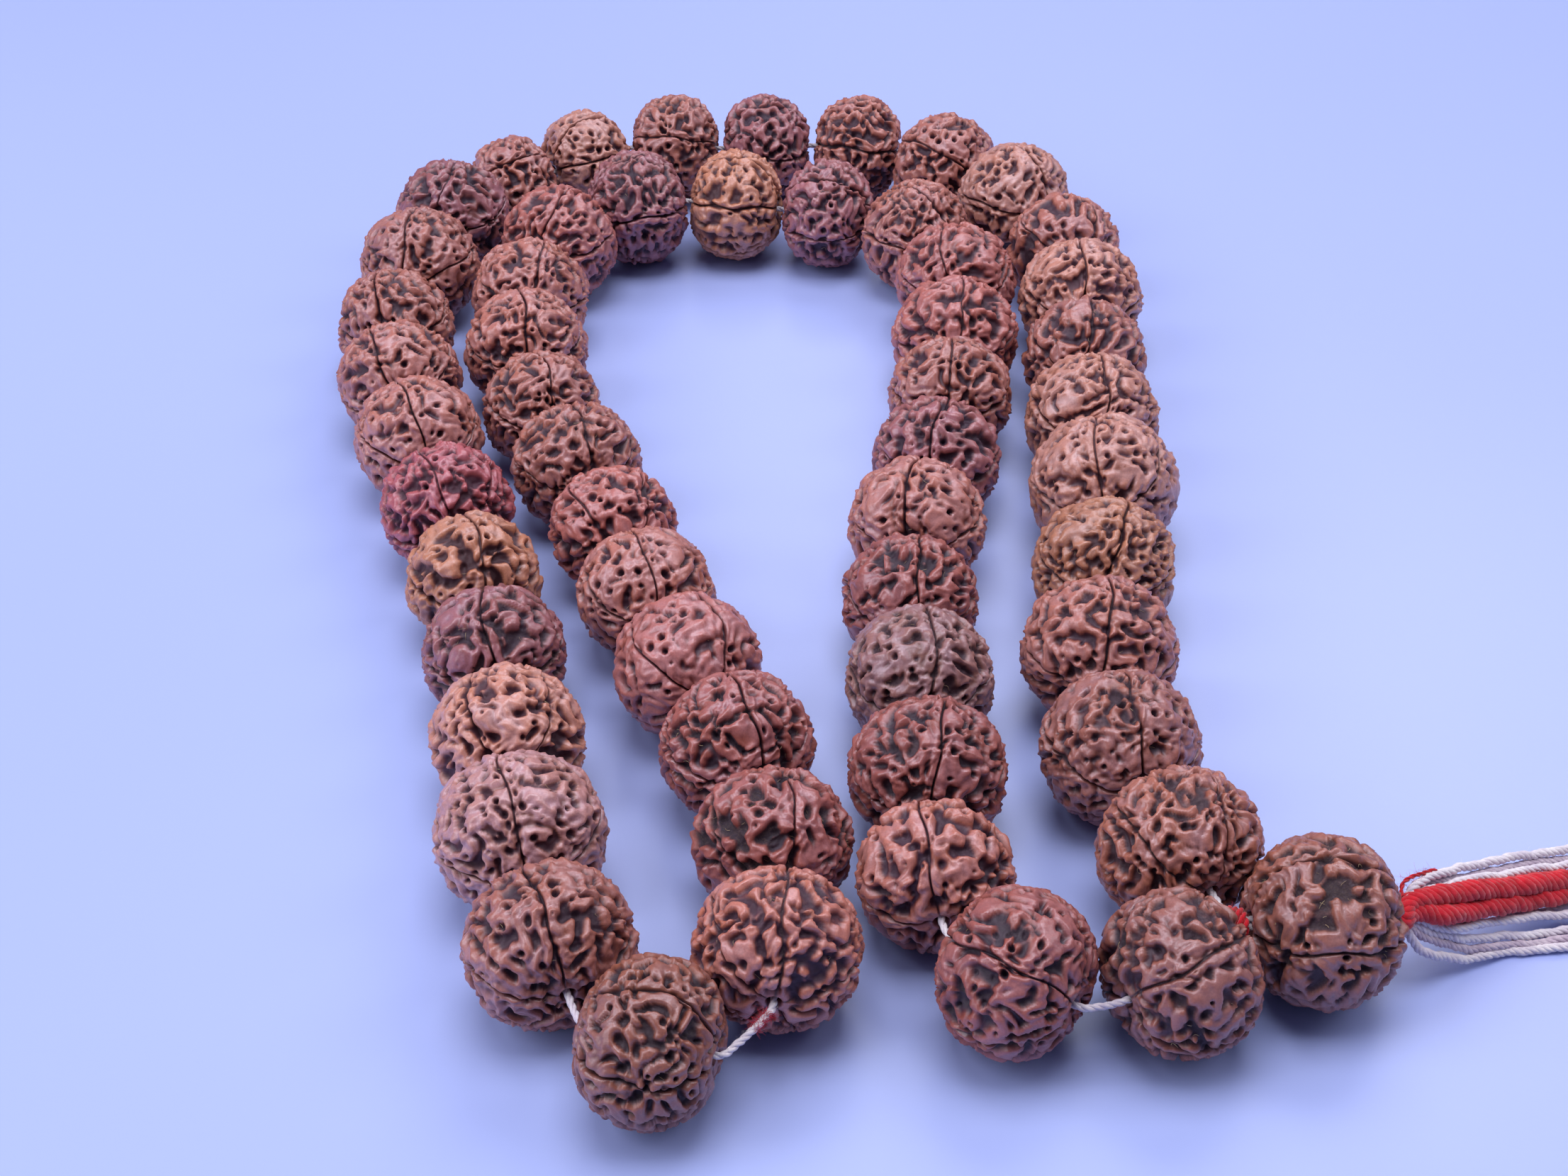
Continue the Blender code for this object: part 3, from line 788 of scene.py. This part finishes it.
def string_line():
    """The string's own way, as the CAD cord runs, eased at its corners."""
    mid, d, side = GURU["c"], GURU["a"], G_SIDE
    far = mid + d * (GURU_L / 2 - 0.9)
    near = mid - d * (GURU_L / 2 + 0.2)
    outside = mid - d * (GURU_L / 2 + BINDING_AT + BINDING_HALF + 0.5)

    def end(sign, pole):
        o = side * sign * CORD_SIDE
        bend = outside + o * 1.5 - d * 0.2
        way = pole - bend
        return [far + o, near + o, outside + o, bend + way * 0.45 + side * sign * 0.15]

    pts = end(1.0, SEEDS[0]["c"] - SEEDS[0]["a"] * SEEDS[0]["l"] / 2)
    for i, s in enumerate(SEEDS):
        for sign, k in ((-1, i - 1), (1, i + 1)):
            lift = (SEEDS[k]["c"][2] - s["c"][2]) / 2 if 0 <= k < 54 else 0.0
            pole = s["c"] + s["a"] * sign * s["l"] / 2
            pts.append(pole + UP * min(max(lift, -0.5), 0.5))
        if i + 1 < 54:
            nxt = SEEDS[i + 1]
            a = s["c"] + s["a"] * s["l"] / 2
            b = nxt["c"] - nxt["a"] * nxt["l"] / 2
            gap = np.linalg.norm(b - a)
            if gap > 2.0:
                pts.append((a + b) / 2 - UP * gap * 0.04)
    pts += reversed(end(-1.0, SEEDS[-1]["c"] + SEEDS[-1]["a"] * SEEDS[-1]["l"] / 2))
    line = even(pts, 0.3)
    k = 4
    pad = np.vstack([np.repeat(line[:1], k, 0), line, np.repeat(line[-1:], k, 0)])
    c = np.cumsum(np.vstack([np.zeros(3), pad]), 0)
    return (c[2 * k + 1 :] - c[: -2 * k - 1]) / (2 * k + 1)


def plied(bundle, rng, line, radius, plies, lay, material, sides=7, start=0.0, offset=0.52, thick=0.56, fray=0.0):
    """Plies twisted about a line. lay is the length of one full turn, in mm."""
    t, n, b = frames(line)
    s = np.concatenate([[0.0], np.cumsum(np.linalg.norm(np.diff(line, axis=0), axis=1))])
    turn = 2 * np.pi * s / lay + start
    for k in range(plies):
        w = turn + 2 * np.pi * k / plies
        swell = 1 + 0.10 * np.sin(s / 1.9 + rng.uniform(0, 6.3)) + 0.06 * np.sin(s / 0.63 + rng.uniform(0, 6.3))
        off = radius * offset * (1 + 0.06 * np.sin(s / 2.7 + rng.uniform(0, 6.3)))
        way = line + n * (np.cos(w) * off)[:, None] + b * (np.sin(w) * off)[:, None]
        bundle.tube(way, radius * thick * swell, sides, material, along=s, ply=float(k))


def fuzz(bundle, rng, line, radius, per_mm, length, material, thick=0.022, spread=1.0):
    """Short stray hairs standing off a yarn."""
    t, n, b = frames(line)
    s = np.concatenate([[0.0], np.cumsum(np.linalg.norm(np.diff(line, axis=0), axis=1))])
    for _ in range(int(s[-1] * per_mm)):
        i = rng.integers(1, len(line) - 1)
        w = rng.uniform(0, 2 * np.pi)
        out = n[i] * math.cos(w) + b[i] * math.sin(w)
        ln = length * rng.uniform(0.4, 1.3)
        lean = t[i] * rng.uniform(-1, 1)
        curl = rng.normal(size=3) * 0.45 * ln
        k = np.linspace(0, 1, 6)[:, None]
        hair = line[i] + out * radius * 0.75 + (out * spread + lean) * ln * k * 0.6 + curl * k * k
        hair[:, 2] = np.maximum(hair[:, 2], 0.06)
        bundle.tube(hair, np.linspace(thick, thick * 0.5, 6), 3, material, along=0.0, ply=0.0)


rng = np.random.default_rng(77)
line = string_line()
cord = Bundle()
plied(cord, rng, line, CORD_R, 3, 4.2, 0, sides=6, offset=0.48, thick=0.58)
gap_a = (SEEDS[27]["c"] + SEEDS[27]["a"] * SEEDS[27]["l"] / 2)
gap_b = (SEEDS[28]["c"] - SEEDS[28]["a"] * SEEDS[28]["l"] / 2)
fuzz(cord, rng, even([gap_b - (gap_b - gap_a) * 0.42 - UP * 0.15, gap_b - (gap_b - gap_a) * 0.06], 0.2), 0.6, 85, 0.9, 1, 0.03)
fuzz(cord, rng, even([gap_a, gap_b], 0.2), 0.5, 5, 0.7, 0, 0.015)
string = cord.build("string", [COTTON, RED_FUZZ])
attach(string, "strand")
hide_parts("stringing_cord")

# ---------------------------------------------- the yarn wound at the guru bead
wrap = Bundle()
mid = GURU["c"] - GURU["a"] * (GURU_L / 2 + BINDING_AT)
turns, pts = 2.6, []
for k in np.linspace(0, 1, 90):
    w = 2 * math.pi * turns * k + 0.6
    r = 1.78 + 0.22 * math.sin(5 * w * 0.37)
    pts.append(mid + GURU["a"] * ((k - 0.5) * 1.7) + (G_SIDE * math.cos(w) * 1.12 + UP * math.sin(w) * 0.92) * r)
coil = smooth_line(pts, 0.2)
plied(wrap, rng, coil, 0.62, 2, 2.6, 0, sides=7)
fuzz(wrap, rng, coil, 0.6, 5.5, 1.1, 1, 0.018)
wrapped = wrap.build("yarn_wrap", [RED, RED_FUZZ])
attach(wrapped, "strand")
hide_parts("yarn_binding")

# ------------------------------------------------------------------ the tassel
# Each strand's way from the far mouth of the guru bead: out along the bore,
# aside, and height above the table, in mm.
ROOT = GURU["c"] + GURU["a"] * (GURU_L / 2 - 0.2)
STRANDS = [
    # name, CAD bundle, material, radius, plies, way
    ("strand_top", "tassel_cotton_back", COTTON, 0.72, 4, (0.5, 1.2), [
        (1.6, 2.2, 13.9), (4.0, 5.0, 14.5), (10.6, 8.9, 13.0), (17.2, 12.1, 11.2), (25, 15.2, 9.2),
        (32, 17.9, 7.2), (43, 21.8, 3.8), (53, 24.6, 1.2), (61, 27.0, 0.8)]),
    ("strand_back", "tassel_cotton_back", COTTON_PAINTED_SHADE, 0.70, 4, (1.0, 0.8), [
        (2.9, 3.9, 13.4), (10.7, 8.4, 11.6), (21.2, 12.9, 9.0), (32.2, 17.0, 6.0), (43, 20.0, 2.8),
        (53, 22.3, 0.9), (60, 24.5, 0.8)]),
    ("strand_middle", "tassel_cotton_back", COTTON, 0.68, 4, (0.2, 1.3), [
        (2.7, 3.0, 13.6), (5.1, 4.4, 13.4), (10.1, 6.9, 12.3), (20.6, 11.3, 9.4), (31.5, 15.4, 6.6),
        (43, 18.8, 2.9), (53, 20.6, 1.0), (59, 21.6, 0.8)]),
    ("red_strand_high", "tassel_red_yarn", RED, 1.62, 6, (-0.5, 0.9), [
        (1.2, 1.4, 13.4), (3.8, 3.0, 13.2), (9.8, 5.5, 11.8), (16.1, 7.7, 9.9), (24, 10.6, 7.6),
        (31, 13.1, 5.9), (42, 16.6, 3.4), (52, 18.6, 1.6), (60, 20.0, 1.3)]),
    ("red_strand_low", "tassel_red_yarn", RED, 1.60, 6, (-0.6, 0.2), [
        (1.5, 0.7, 12.6), (5.9, 1.9, 11.3), (9.5, 3.2, 9.8), (16.2, 6.2, 7.7), (24.3, 9.4, 5.5),
        (31.1, 12.0, 4.0), (42, 14.9, 1.8), (53, 17.0, 1.3), (61, 18.0, 1.3)]),
    ("strand_between", "tassel_red_yarn", COTTON_PAINTED_SHADE, 0.66, 4, (0.1, 0.0), [
        (1.9, 0.9, 11.5), (8.7, 2.7, 7.9), (16.5, 5.6, 5.0), (24.4, 8.9, 2.9), (31.2, 11.4, 1.4),
        (42, 13.2, 0.8), (52, 14.8, 0.7), (58, 15.4, 0.7)]),
    ("strand_low_1", "tassel_cotton_front", COTTON, 0.70, 4, (0.9, -0.4), [
        (1.8, 1.1, 11.4), (7.2, 1.6, 8.6), (13.7, 4.0, 6.2), (20.2, 6.4, 4.6), (30.1, 8.9, 2.6),
        (42, 11.8, 1.0), (53, 14.0, 0.8), (62, 15.0, 0.8)]),
    ("strand_low_2", "tassel_cotton_front", COTTON, 0.70, 4, (0.2, -0.9), [
        (1.6, 0.6, 11.0), (3.6, 0.8, 9.8), (7.4, 1.4, 7.2), (13.9, 3.4, 4.0), (21.4, 5.4, 2.0),
        (29.9, 7.0, 1.0), (42, 9.2, 0.8), (53, 12.4, 0.8), (60, 13.4, 0.8)]),
    ("strand_low_3", "tassel_cotton_front", COTTON_PAINTED_SHADE, 0.68, 4, (-0.5, -0.8), [
        (1.6, -0.2, 10.8), (6.1, 0.5, 7.2), (12.7, 2.2, 3.2), (21.3, 4.2, 1.3), (29.8, 5.6, 0.8),
        (42, 8.6, 0.8), (52, 10.0, 0.8), (58, 10.6, 0.8)]),
    ("strand_low_4", "tassel_cotton_front", COTTON, 0.72, 4, (-0.9, -0.9), [
        (1.6, -1.0, 10.4), (3.4, -1.5, 8.0), (7.3, -0.7, 4.8), (12.6, 1.1, 2.2), (17.7, 2.8, 1.0),
        (29.7, 4.0, 0.8), (42, 6.6, 0.8), (53, 11.6, 0.8), (62, 12.6, 0.8)]),
]


def from_root(out, aside, height):
    p = ROOT + GURU["a"] * out + G_SIDE * aside
    p[2] = height
    return p


LINT = {False: Bundle(), True: Bundle()}
for name, node, mat, radius, plies, (at_side, at_up), way in STRANDS:
    rr = np.random.default_rng(len(name) * 31 + int(radius * 100) + int(way[0][2] * 10))
    start = ROOT + G_SIDE * at_side * 0.9 + UP * at_up * 0.9 - GURU["a"] * 1.0
    pts = [start, start + GURU["a"] * 1.4] + [from_root(*w) for w in way]
    line = smooth_line(pts, 0.45)
    line = wobble(rr, line, 0.18, 11.0)
    line[:, 2] = np.maximum(line[:, 2], radius * 1.02)
    bun = Bundle()
    red = name.startswith("red")
    plied(bun, rr, line, radius, plies, 7.0 if red else 4.6, 0, sides=7,
          offset=0.58 if red else 0.53, thick=0.44 if red else 0.49, start=rr.uniform(0, 6))
    lint = LINT[red]
    fuzz(lint, rr, line, radius, 6.5 if red else 3.2, 1.0 if red else 0.8, 0, 0.015 if red else 0.012)
    # the cut end frays out
    t_end = unit(line[-1] - line[-4])
    for _ in range(16 if red else 10):
        away = rr.normal(size=3) * 0.5
        k = np.linspace(0, 1, 6)[:, None]
        hair = line[-1] + away * radius * 0.6 + (t_end * rr.uniform(1.0, 2.6) + away) * k + rr.normal(size=3) * 0.3 * k * k
        hair[:, 2] = np.maximum(hair[:, 2], 0.12)
        lint.tube(hair, np.linspace(0.09, 0.05, 6), 4, 1, along=k[:, 0], ply=0.0)
    o = bun.build(name, [mat])
    path = line[:: max(1, len(line) // 36)]
    if np.linalg.norm(path[-1] - line[-1]) > 1e-6:
        path = np.vstack([path, line[-1]])
    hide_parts(node)
    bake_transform(o)

for red, name, mats in ((False, "lint_white", [COTTON, COTTON]), (True, "lint_red", [RED_FUZZ, RED])):
    o = LINT[red].build(name, mats)
    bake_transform(o)

# a small fuzzy loop of red yarn caught above the mouth
loop_rng = np.random.default_rng(5)
loop_pts = [from_root(-0.6, 0.6, 13.6), from_root(0.6, 2.4, 14.6), from_root(1.5, 4.6, 15.2), from_root(3.0, 5.6, 15.3),
            from_root(5.0, 6.6, 14.9), from_root(7.2, 7.6, 14.6)]
loop_line = smooth_line(loop_pts, 0.25)
bun = Bundle()
plied(bun, loop_rng, loop_line, 0.34, 2, 2.4, 0, sides=6)
fuzz(bun, loop_rng, loop_line, 0.3, 14, 1.3, 1, 0.016)
o = bun.build("red_loop", [RED, RED_FUZZ])
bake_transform(o)

# ------------------------------------------------------- the table and the light
floor_mat, t, p = nodes_of("table")
co = t.nodes.new("ShaderNodeTexCoord").outputs["Object"]
n1 = noise(t, co, 3.0, 2.0, 0.5)
n2 = noise(t, co, 900.0, 3.0, 0.6)
t.links.new(ramp(t, n1, [(0.3, (0.36, 0.43, 0.84)), (0.7, (0.385, 0.46, 0.87))]), p.inputs["Base Color"])
p.inputs["Roughness"].default_value = 0.32
p.inputs["Specular IOR Level"].default_value = 0.35
b = t.nodes.new("ShaderNodeBump")
b.inputs["Strength"].default_value = 0.06
b.inputs["Distance"].default_value = 0.0002
t.links.new(n2, b.inputs["Height"])
t.links.new(b.outputs["Normal"], p.inputs["Normal"])
me = bpy.data.meshes.new("table")
k = 4.0
me.from_pydata([(-k, -k, 0), (k, -k, 0), (k, k, 0), (-k, k, 0)], [], [(0, 1, 2, 3)])
me.materials.append(floor_mat)
table = bpy.data.objects.new("table", me)
scene.collection.objects.link(table)

world = bpy.data.worlds.new("studio")
world.use_nodes = True
bg = world.node_tree.nodes["Background"]
bg.inputs["Color"].default_value = (0.62, 0.68, 1.0, 1.0)
bg.inputs["Strength"].default_value = 0.15
scene.world = world


def area(name, at, to, size, energy, colour):
    d = bpy.data.lights.new(name, "AREA")
    d.shape = "RECTANGLE"
    d.size, d.size_y = size
    d.energy = energy
    d.color = colour
    o = bpy.data.objects.new(name, d)
    o.location = at
    o.rotation_euler = (Vector(to) - Vector(at)).to_track_quat("-Z", "Y").to_euler()
    scene.collection.objects.link(o)


area("softbox_top", (0.0, 0.0, 1.15), (0.0, -0.02, 0.0), (0.7, 0.6), 8.2, (1.0, 0.985, 0.99))
area("softbox_back", (0.25, 0.75, 0.85), (0.0, -0.02, 0.0), (0.8, 0.6), 4.9, (0.98, 0.98, 1.0))
area("softbox_left", (-0.82, -0.12, 0.82), (0.0, -0.02, 0.0), (0.6, 0.8), 6.3, (0.98, 0.98, 1.0))
area("softbox_right", (0.80, 0.02, 0.85), (0.0, -0.02, 0.0), (0.6, 0.6), 2.8, (1.0, 0.98, 0.98))
area("softbox_low", (-0.9, -0.6, 0.42), (0.0, -0.02, 0.0), (0.6, 0.6), 2.2, (1.0, 0.98, 0.98))

scene.view_settings.view_transform = "Standard"
scene.view_settings.look = "None"
scene.view_settings.exposure = 0.0
